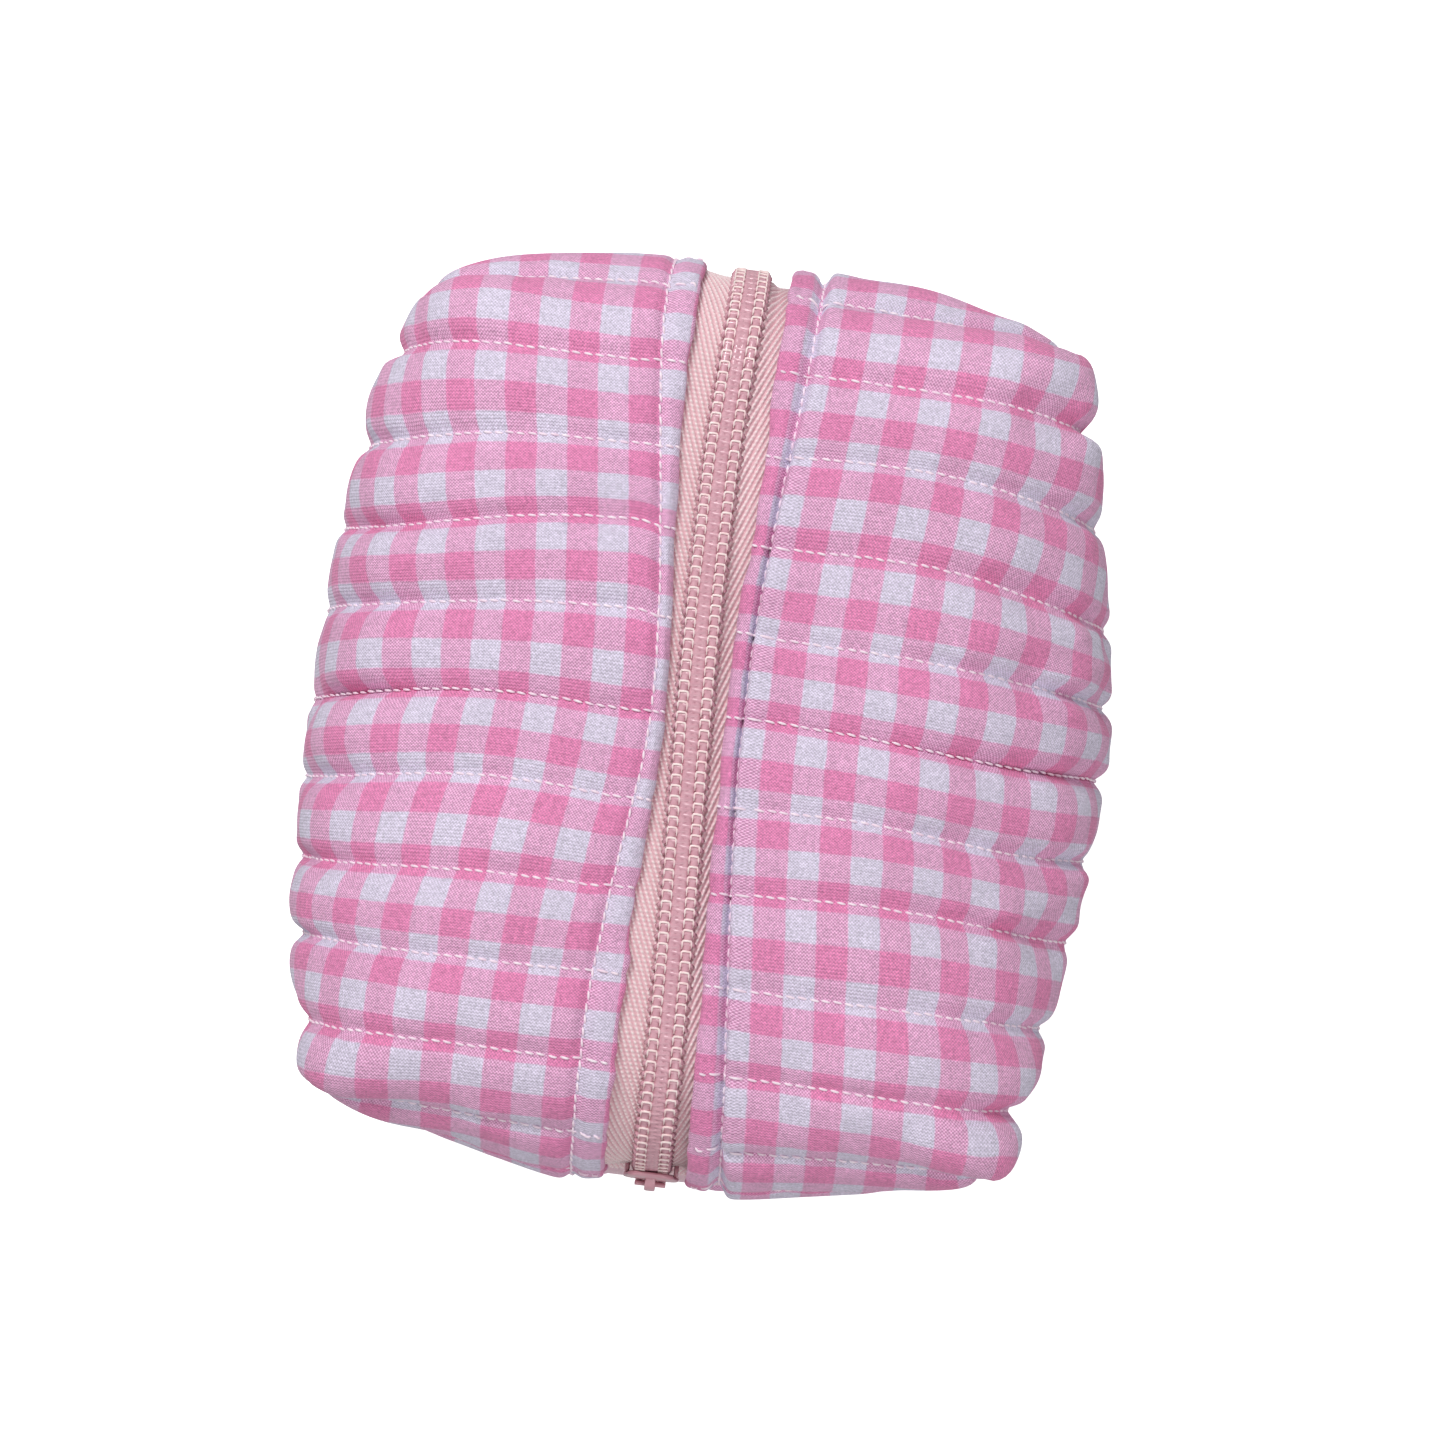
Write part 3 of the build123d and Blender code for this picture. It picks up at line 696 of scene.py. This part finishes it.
def tucked(P, N, inset):
    """The lower part of a layer with its edges carried up behind the flaps, so that no gap opens at the hinge."""
    rows = between_rows(np.abs(W), 0, LOWER_T + TUCK)
    P = P[rows].copy()
    over = np.clip(np.abs(W[rows]) - LOWER_T, 0, None)
    P -= N[rows] * (inset * smooth(over / 1.6))[:, None, None]
    keep = KEEP[rows[:-1]].copy()
    keep[over[:-1] + over[1:] > 0] &= (np.abs(V[:-1] + V[1:]) / 2 < NOTCH_V - 6)[None, :]
    return P, rows, keep


P, rows, keep = tucked(quilt, NQ, 1.3)
shift = np.where(WW[rows] < 0, CHECK_SHIFT["left"], CHECK_SHIFT["right"])
eased_u = UU[rows] + shift + CHECK / 2 * np.clip(1 - TT[rows] / LOWER_T, 0, 1)
uv = np.stack([eased_u, VV[rows] * CLOTH_PITCH / PITCH + CHECK_START], axis=-1)
lower = subdivided(grid_mesh("lower_body", P, keep, uv, COTTON))
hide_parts("cotton_bottom", "cotton_side_left", "cotton_side_right", "cotton_end_far", "cotton_end_near",
            "wadding_base", "wadding_far", "wadding_near")
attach(lower, "bag")

# ---- sewing

def stitch_rows(w, v, length):
    """Stitches centred at w, v, lying along w (length in w) or along v (length in v), each a little aslant."""
    k = np.linspace(-0.5, 0.5, 6)
    slant = 0.3
    ww = w[:, None] + ((length[0] or slant) * k)[None, :]
    vv = v[:, None] + ((length[1] or slant) * k)[None, :]
    P, N = cloth.at(ww, vv)
    arch = (0.24 - 0.45 * (2 * k) ** 4)[None, :, None]
    return P + N * arch, N


for side, sign in SIDES.items():
    for half in HALVES:
        ks = [k for k in LINE_NUMBERS if (k < 0) == (half == "near")]
        ps, ns = [], []
        for k in ks:
            stop = LOWER_T if abs(k * PITCH) < NOTCH_V else FOLD_T - NOTCH_U + 1
            t = np.arange(stop + 1.5, FOLD_T - 0.5, STITCH) + rng.uniform(-0.5, 0.5)
            t = t + rng.uniform(-0.12, 0.12, len(t))
            v = k * PITCH + rng.uniform(-0.13, 0.13, len(t))
            P, N = stitch_rows(sign * t, v, (STITCH_LONG, 0))
            ps.append(P), ns.append(N)
        v = np.arange(2, UPPER_V - 1.5, STITCH) * (1 if half == "far" else -1)
        v = v + rng.uniform(-0.12, 0.12, len(v))
        P, N = stitch_rows(sign * (FOLD_T - EDGE_STITCH_U) + rng.uniform(-0.12, 0.12, len(v)), v, (0, STITCH_LONG))
        ps.append(P), ns.append(N)
        obj = tubes(f"stitching_{side}_{half}", np.concatenate(ps), np.concatenate(ns), STITCH_R, THREAD)
        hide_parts(f"quilting_top_{side}", f"edge_stitch_top_{side}", f"quilting_{half}", f"edge_stitch_{half}")
        bend(obj)

ps, ns = [], []
for k in LINE_NUMBERS:
    stop = LOWER_T - 1 if abs(k * PITCH) < NOTCH_V else NOTCH_T - 1
    w = np.arange(-stop, stop, STITCH) + rng.uniform(-0.5, 0.5)
    v = k * PITCH + rng.uniform(-0.13, 0.13, len(w))
    P, N = stitch_rows(w, v, (STITCH_LONG, 0))
    P[:, :, 2] = np.maximum(P[:, :, 2], 0.35)
    ps.append(P), ns.append(N)
obj = tubes("stitching_lower", np.concatenate(ps), np.concatenate(ns), STITCH_R, THREAD)
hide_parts("quilting_base")
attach(obj, "bag")

# ---- the zip

def zip_at(s, x, h):
    """Points and normals of the zip: s along it from the middle of the top, x across, h above the tape."""
    a = np.abs(s)
    ends = np.where(s < 0, zip_length("near"), zip_length("far"))
    h = h + (TAPE_DEPTH - 0.9) * smooth((a - ends + 8.5) / 7.5)
    full = np.where(s < 0, ZIP_R["near"], ZIP_R["far"])
    r = full - TAPE_DEPTH
    pivot_y, pivot_z = CAD_HALF_L - full, CAD_TOP - full
    angle = np.clip((a - pivot_y) / r, 0, math.pi / 2)
    past = np.clip(a - pivot_y - r * math.pi / 2, 0, None)
    y = np.where(a < pivot_y, a, pivot_y + (r + h) * np.sin(angle))
    z = np.where(a < pivot_y, pivot_z + r + h, pivot_z + (r + h) * np.cos(angle) - past)
    y = np.where(s < 0, -y, stuffed(y))          # the near end keeps to the slider's arc
    n = np.stack([0 * a, np.sign(s) * np.sin(angle), np.cos(angle)], axis=-1)
    return np.stack([x + zip_x(y), y, z], axis=-1), n


# paths that are the same at every tooth: x outward, s along the zip, and height above the tape
COIL_PATH = np.array([[3.5, 3.95, 3.6, 1.5, -0.8, -1.4, -0.9, 1.6],
                      [-0.5, -0.25, 0, 0.05, 0.25, 0.3, 0.2, 0.2],
                      [0.35, 1.0, 1.5, 1.65, 1.6, 1.1, 0.4, 0.2]])
LOOP_PATH = np.array([[3.4, 3.4, 3.3, 2.4, 1.65, 1.5, 1.5],
                      [-0.85, 0.3, 0.62, 0.68, 0.62, 0.3, -1.05],
                      [1.95, 2.12, 2.16, 2.2, 2.2, 2.2, 2.15]])


def at_teeth(teeth, sign, path):
    x, s, h = path
    return zip_at(teeth[:, None] + s, sign * x + 0 * teeth[:, None], h + 0 * teeth[:, None])


def zip_length(half):
    r = ZIP_R[half]
    return CAD_HALF_L - r + (r - TAPE_DEPTH) * math.pi / 2 + CAD_TOP - r - SEAM_Z + 1.5


for side, sign in SIDES.items():
    for half in HALVES:
        direction = -1 if half == "near" else 1
        s = np.linspace(0, zip_length(half), 700) * direction
        if direction < 0:
            s = s[::-1]
        x = np.concatenate([[0.8], np.linspace(1.0, 14.5, 48), [14.6]])
        S, X = np.meshgrid(s, x, indexing="ij")
        # broken twill: ribs lean outward from the chain, in beads
        rib = np.sin(2 * math.pi * (S / RIB_S - X / RIB_X))
        bead = np.sin(2 * math.pi * S / BEAD) * (0.9 if sign < 0 else 0.25)
        if sign < 0:
            h_fold = 0.9 * smooth((X - 5) / 7)
        else:
            h_fold = -smooth((X - 4.3) / 2) * (1 - 0.8 * smooth((-S - 50) / 35))
        h = 0.27 * rib + 0.12 * (1 + rib) * bead + 0.03 * waves(S, X, 5, 12, 31)
        h = h + 0.25 * waves(S, X * 0.2, 4, 40, 33 + sign)
        to_end = zip_length(half) - np.abs(S)
        h = h + h_fold * smooth((to_end - 4) / 9)
        # past the chain the two tapes are sewn edge to edge
        meet = X - 0.85 * (1 - (X - 0.8) / 13.8) * smooth((6.5 - to_end) / 2)
        P, N = zip_at(S, sign * meet, h)
        uv = np.stack([X, S], axis=-1)
        if sign < 0:
            P, uv = P[:, ::-1], uv[:, ::-1]
        obj = grid_mesh(f"tape_{side}_{half}", P, None, uv, TAPE)
        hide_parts(f"tape_top_{side}", f"tape_{half}_{side}")
        bend(obj)

        # the two rows of teeth mesh: each starts half a pitch from the other
        first = 0.25 if sign == direction else 0.75
        teeth = np.arange(first, (zip_length(half) - 3.5) / TOOTH, 1.0) * TOOTH * direction
        coil = tubes("coil", *at_teeth(teeth, sign, COIL_PATH), 0.6, COIL, sides=8)
        loops = tubes("loops", *at_teeth(teeth, sign, LOOP_PATH), 0.25, COIL_THREAD)
        cords_x = np.array([2.5, 0.6])[:, None]
        along = np.linspace(-0.8, (zip_length(half) - 3.8), 150)[None] * direction + 0 * cords_x
        P, N = zip_at(along, sign * cords_x + 0 * along, 1.12 + 0 * along)
        cord = tubes("cord", P, N, 1.02, COIL, sides=12)
        obj = joined(f"coil_{side}_{half}", [coil, loops, cord])
        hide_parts(f"coil_top_{side}", f"coil_{half}_{side}")
        bend(obj)

# ---- inside: lining
lining_P = base - N0 * (INSET - 0.9 * puff * rim)[:, :, None]
for side, sign in SIDES.items():
    for half in HALVES:
        cols = columns(half)
        rows = between_rows(W * sign, LOWER_T, FOLD_T - 1)
        uv = np.stack([UU[np.ix_(rows, cols)], VV[np.ix_(rows, cols)]], axis=-1)
        obj = grid_mesh(f"lining_{side}_{half}", lining_P[np.ix_(rows, cols)],
                        KEEP[np.ix_(rows[:-1], cols[:-1])], uv, LINING)
        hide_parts(f"lining_top_{side}", f"lining_{half}")
        bend(obj)
P, rows, keep = tucked(lining_P, N0, -1.2)
uv = np.stack([WW[rows], VV[rows]], axis=-1)
obj = grid_mesh("lining_lower", P, keep, uv, LINING)
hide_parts("lining_base")
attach(obj, "bag")

# ---- slider and pull tab, on the arc of the near end
ENAMEL = glossy("slider_enamel", rgb(212, 152, 166), rgb(224, 168, 180), 0.25, 0.6, 300, 0.01)
ORBIT = np.array([0.0, ZIP_R["near"] - CAD_HALF_L, CAD_TOP - ZIP_R["near"]])
SLIDER_AT, SLIDER_SPAN = 8.0, 11.6       # degrees above level, and each way along the arc


def bar(name, path, across, up, half_w, half_h, square=0.45):
    """A bar with a rounded oblong section and closed ends; half_w and half_h run along it."""
    t = np.arange(28) * 2 * math.pi / 28
    side = signed_power(np.cos(t), square)[None, :, None] * np.asarray(half_w)[:, None, None] * across[:, None]
    rise = signed_power(np.sin(t), square)[None, :, None] * np.asarray(half_h)[:, None, None] * up[:, None]
    pts = path[:, None] + side + rise
    n, m = pts.shape[:2]
    index = np.arange(n * m).reshape(n, m)
    faces = ring_faces(index) + [index[0, ::-1].tolist(), index[-1].tolist()]
    return raw_mesh(name, pts.reshape(-1, 3), faces, None, ENAMEL)


def orbit_bar(name, radius, span, x, half_w, half_h):
    """A bar bent to the slider's arc, rounded off at both ends."""
    u = np.sin(np.linspace(-math.pi / 2, math.pi / 2, 40))
    angle = np.radians(SLIDER_AT + (span[0] + span[1]) / 2 + u * (span[1] - span[0]) / 2)
    out = np.stack([0 * u, -np.cos(angle), np.sin(angle)], axis=-1)
    path = ORBIT + out * (radius(u) if callable(radius) else radius + 0 * u)[:, None] + np.array([x, 0, 0])
    closing = (1 - np.abs(u) ** 10 * 0.999) ** 0.5
    width = half_w(u) if callable(half_w) else half_w + 0 * u
    return bar(name, path, np.tile([1.0, 0, 0], (len(u), 1)), out, width * (0.6 + 0.4 * closing), half_h * closing)


def shield(u):
    """Half width of the slider's plates: shoulders at the open end, a waist, and a narrower closed end."""
    return 6.05 - 1.15 * smooth((u + 0.3) / 1.2) - 1.3 * smooth((np.abs(u) - 0.72) / 0.28) ** 2


whole = (-SLIDER_SPAN, SLIDER_SPAN)
parts = [orbit_bar("top_plate", 34.75, whole, 0, shield, 0.65),
         orbit_bar("foot_plate", 28.9, whole, 0, shield, 0.6),
         orbit_bar("neck", 31.8, (-10, -3), 0, 0.35, 2.6),
         orbit_bar("bridge", lambda u: 35.2 + 2.05 * (1 - np.abs(u) ** 3.2), (-7.4, 7.4), 0, 1.15, 0.42)]
for edge in (-1, 1):
    parts.append(orbit_bar("flange", 32.9, (-10.6, 3.5), edge * 5.3, 0.5, 1.4))
slider = joined("slider_body", parts)
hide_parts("slider")
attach(slider, "slider")

TAB_ORBIT, TAB_TILT, TAB_LENGTH, TAB_W, THROAT, EYE_R = 36.2, 4.0, 27.0, 3.6, 5.2, 1.3
hang = ORBIT + TAB_ORBIT * np.array([0, -math.cos(math.radians(SLIDER_AT)), math.sin(math.radians(SLIDER_AT))])
down = np.array([0, -math.sin(math.radians(TAB_TILT)), -math.cos(math.radians(TAB_TILT))])
face = np.array([0, -math.cos(math.radians(TAB_TILT)), math.sin(math.radians(TAB_TILT))])
x_dir = np.array([1.0, 0, 0])
# the plate: a section swept round its eye, out to a rounded oblong
turn = np.arange(96) * 2 * math.pi / 96
t = np.arange(20) * 2 * math.pi / 20
ray = np.stack([np.sin(turn), np.cos(turn)], axis=-1)            # across, down
far_end, near_end = TAB_W, TAB_LENGTH - THROAT - TAB_W
k = np.linspace(0, 40, 4001)
reach_at = []
for dx, dy in ray:
    x, y = k * dx, k * dy
    length = np.where(y > 0, far_end, near_end)
    waist = TAB_W - 0.5 * smooth((-y - 1) / 12)
    inside = (np.abs(x) / waist) ** 2.6 + (np.abs(y) / length) ** np.where(y > 0, 2.2, 7) < 1
    reach_at.append(k[inside][-1])
reach_at = np.array(reach_at)
middle, spread = (reach_at + EYE_R) / 2, (reach_at - EYE_R) / 2
across_at = middle[:, None] + spread[:, None] * signed_power(np.cos(t), 0.6)[None]
edge_roll = 1 + 0.25 * np.abs(np.cos(t)) ** 6
thick = 0.5 * signed_power(np.sin(t), 0.7) * edge_roll
eye = hang + down * (TAB_LENGTH - TAB_W)
pts = (eye + across_at[:, :, None] * (ray[:, 0, None] * x_dir + ray[:, 1, None] * down)[:, None]
       + thick[None, :, None] * face)
index = np.arange(pts.shape[0] * pts.shape[1]).reshape(pts.shape[:2])
parts = [raw_mesh("plate", pts.reshape(-1, 3), ring_faces(index[::-1], closed=True), None, ENAMEL)]
for edge in (-1, 1):
    along = np.linspace(0, THROAT + 2.2, 14)
    path = hang + along[:, None] * down + edge * 2.55 * x_dir
    parts.append(bar("arm", path, np.tile(x_dir, (14, 1)), np.tile(face, (14, 1)), 0.8 + 0 * along, 0.5 + 0 * along))
along = np.linspace(-3.3, 3.3, 16)
path = hang + along[:, None] * x_dir
parts.append(bar("pin", path, np.tile(face, (16, 1)), np.tile(down, (16, 1)), 0.5 + 0 * along, 0.5 + 0 * along, 1.0))
tab = joined("pull_tab_plate", parts)
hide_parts("pull_tab")
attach(tab, "pull_tab")


def welt(name, path, inward, across, width, thick):
    """A bound seam allowance: folded tape standing inward from the seam, with its line of stitching."""
    count = len(path)
    angle = np.linspace(0, 2 * math.pi, 21)
    flat, round_ = signed_power(np.cos(angle), 0.5), signed_power(np.sin(angle), 0.8)
    wave = 0.35 * waves(np.arange(count), np.zeros(count), 5, 9, len(name))
    grow = (1 + 0.05 * waves(np.arange(count), np.zeros(count), 5, 5, 3 + len(name)))
    depth = ((flat + 1) / 2)[None, :, None]          # 0 at the seam, 1 at the free edge
    P = (path[:, None] + inward[:, None] * depth * width * grow[:, None, None]
         + across[:, None] * ((round_ * thick / 2)[None, :, None] + wave[:, None, None] * depth))
    run = np.concatenate([[0], np.cumsum(np.linalg.norm(np.diff(path, axis=0), axis=1))])
    around = np.concatenate([[0], np.cumsum(np.hypot(np.diff(flat) * width / 2, np.diff(round_) * thick / 2))])
    uv = np.stack(np.meshgrid(run, around, indexing="ij"), axis=-1)
    body = grid_mesh("welt", P, None, uv, BINDING)
    at = np.arange(2, run[-1] - 2, STITCH)
    rows_p, rows_n = [], []
    for face in (-1, 1):
        k = np.linspace(-0.5, 0.5, 6)
        where = at[:, None] + 1.9 * k[None, :]
        point = np.stack([np.interp(where, run, path[:, c]) for c in range(3)], axis=-1)
        inn = np.stack([np.interp(where, run, inward[:, c]) for c in range(3)], axis=-1)
        out = np.stack([np.interp(where, run, across[:, c]) for c in range(3)], axis=-1)
        bow = np.interp(where, run, wave)[..., None]
        rise = (thick / 2 + 0.12 - 0.3 * (2 * k) ** 4)[None, :, None] * face
        rows_p.append(point + inn * width * 0.74 + out * (rise + bow * 0.74))
        rows_n.append(out * face)
    sewn = tubes("sewn", np.concatenate(rows_p), np.concatenate(rows_n), 0.26, THREAD)
    obj = joined(name, [body, sewn])
    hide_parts(name.replace("bound", "binding"))
    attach(obj, "bag")


for end, column in (("near", 0), ("far", -1)):
    rows = between_rows(np.abs(W), 0, 57)
    seam = lining_P[rows, column].copy()
    seam[:, 2] = SEAM_Z - 1.6
    seam[:, 1] *= 1 - 0.012
    pull = np.zeros_like(seam)
    pull[:, 1] = -np.sign(seam[:, 1])
    up = np.zeros_like(seam)
    up[:, 2] = 1
    welt(f"bound_end_{end}", seam, pull, up, 6.6, 2.2)
    for side, sign in SIDES.items():
        z = np.linspace(9, 62, 40)
        corner_x, corner_y = CORNERS[side, end]
        ahead_y = -1 if end == "near" else 1
        path = np.stack([0 * z + sign * (corner_x - 5.4), 0 * z + ahead_y * (corner_y - 5.4), z], axis=-1)
        inward = np.tile([-sign * 0.7071, -ahead_y * 0.7071, 0.0], (len(z), 1))
        across = np.tile([-ahead_y * 0.7071, sign * 0.7071, 0.0], (len(z), 1))
        welt(f"bound_{end}_{side}", path, inward, across, 8.0, 2.4)


# ---- floor, light and camera
floor_mat = Nodes("floor").set(roughness=0.9, specular=0.1)
floor_mat.bsdf.inputs["Base Color"].default_value = (0.9, 0.9, 0.9, 1)
floor_mat.bsdf.inputs["Emission Color"].default_value = (1, 1, 1, 1)
floor_mat.bsdf.inputs["Emission Strength"].default_value = 0.8
floor = raw_mesh("floor", [(-3000, -3000, 0), (3000, -3000, 0), (3000, 3000, 0), (-3000, 3000, 0)], [(0, 1, 2, 3)],
                 None, floor_mat.mat)
floor.visible_diffuse = floor.visible_glossy = False

backdrop_mat = Nodes("backdrop").set(roughness=1.0, specular=0.0)
backdrop_mat.bsdf.inputs["Base Color"].default_value = (1, 1, 1, 1)
backdrop_mat.bsdf.inputs["Emission Color"].default_value = (1, 1, 1, 1)
backdrop_mat.bsdf.inputs["Emission Strength"].default_value = 1.0
around = np.linspace(0, 2 * math.pi, 49)
wall = np.stack([np.stack([2900 * np.cos(around), 2900 * np.sin(around), 0 * around + z], axis=-1)
                 for z in (-5.0, 1500.0, 2900.0)])
backdrop = grid_mesh("backdrop", wall, None, None, backdrop_mat.mat)
backdrop.visible_diffuse = backdrop.visible_glossy = backdrop.visible_shadow = False

world = bpy.data.worlds.new("World")
bpy.context.scene.world = world
world.use_nodes = True
world.node_tree.nodes["Background"].inputs[0].default_value = (1, 1, 1, 1)
world.node_tree.nodes["Background"].inputs[1].default_value = 0.42
bpy.context.scene.view_settings.view_transform = "Standard"


def area(name, location, target, size, power):
    data = bpy.data.lights.new(name, "AREA")
    data.shape = "SQUARE"
    data.size = size
    data.energy = power
    obj = bpy.data.objects.new(name, data)
    bpy.context.scene.collection.objects.link(obj)
    obj.location = location
    obj.rotation_mode = "QUATERNION"
    obj.rotation_quaternion = (Vector(target) - Vector(location)).to_track_quat("-Z", "Y")
    return obj


area("key", (-0.42, 0.58, 0.95), (0, 0, 0.05), 0.35, 7.4)
area("fill", (0.42, -0.66, 0.85), (0, 0, 0.05), 0.8, 2.9)

ROLL = math.radians(6.9)
AIM = Vector((0.0036 * math.cos(ROLL), -0.0011, TOP * MM))
EYE = Vector((0.004, -0.029, 0.54))
data = bpy.data.cameras.new("Camera")
data.lens = 55.1
data.clip_start = 0.01
camera = bpy.data.objects.new("Camera", data)
bpy.context.scene.collection.objects.link(camera)
ahead = (AIM - EYE).normalized()
up = Vector((-math.sin(ROLL), math.cos(ROLL), 0))
right = ahead.cross(up).normalized()
up = right.cross(ahead)
camera.matrix_world = Matrix.Translation(EYE) @ Matrix((right, up, -ahead)).transposed().to_4x4()
bpy.context.scene.camera = camera
